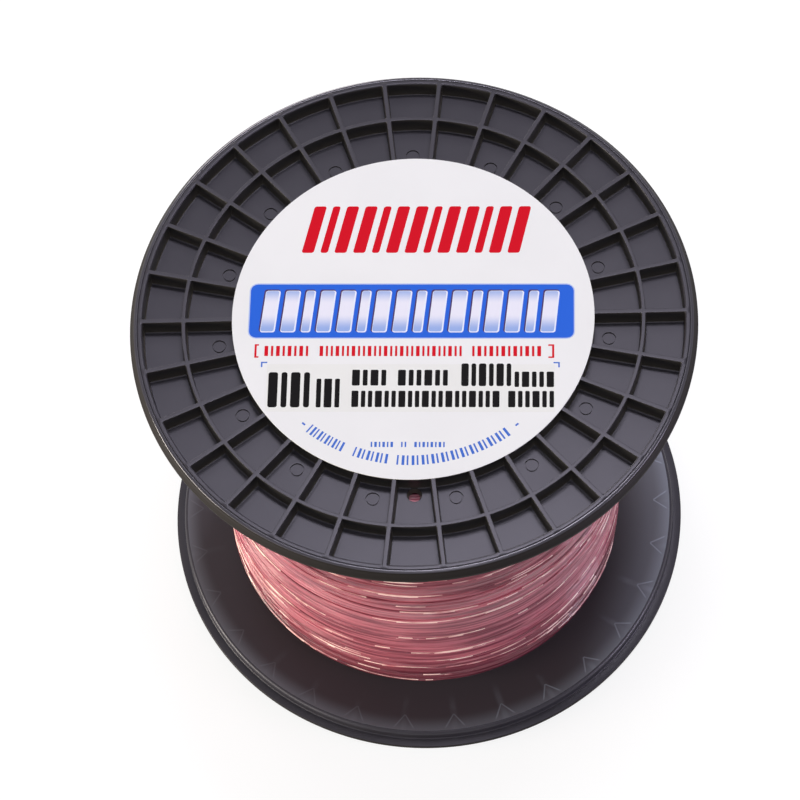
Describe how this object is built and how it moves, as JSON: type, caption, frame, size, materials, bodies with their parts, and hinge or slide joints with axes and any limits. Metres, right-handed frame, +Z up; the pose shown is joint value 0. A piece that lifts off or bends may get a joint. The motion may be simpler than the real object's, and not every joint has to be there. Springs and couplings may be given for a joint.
{
  "type": "fishing line spool",
  "caption": "Bulk spool of pink fishing line: black moulded spool with waffle-ribbed flanges and a rolled rim, full winding, round label, spindle bore.",
  "frame": {"origin": "centre of the plane that the lower flange stands on", "axes": "+Z up along the spindle bore; the hole for the start of the line is towards -Y"},
  "size_m": [0.12, 0.12, 0.1014],
  "materials": {
    "spool_plastic": "satin, moulded",
    "line": "clear pink filament, glossy",
    "label_paper": "coated, semi-gloss"
  },
  "bodies": {
    "root": {"upper_flange": "spool_plastic", "lower_flange": "spool_plastic", "barrel": "spool_plastic", "spindle_tube": "spool_plastic", "hub_web_1": "spool_plastic", "hub_web_2": "spool_plastic", "hub_web_3": "spool_plastic", "hub_web_4": "spool_plastic", "hub_web_5": "spool_plastic", "hub_web_6": "spool_plastic", "wound_line": "line", "label": "label_paper"}
  },
  "joints": []
}
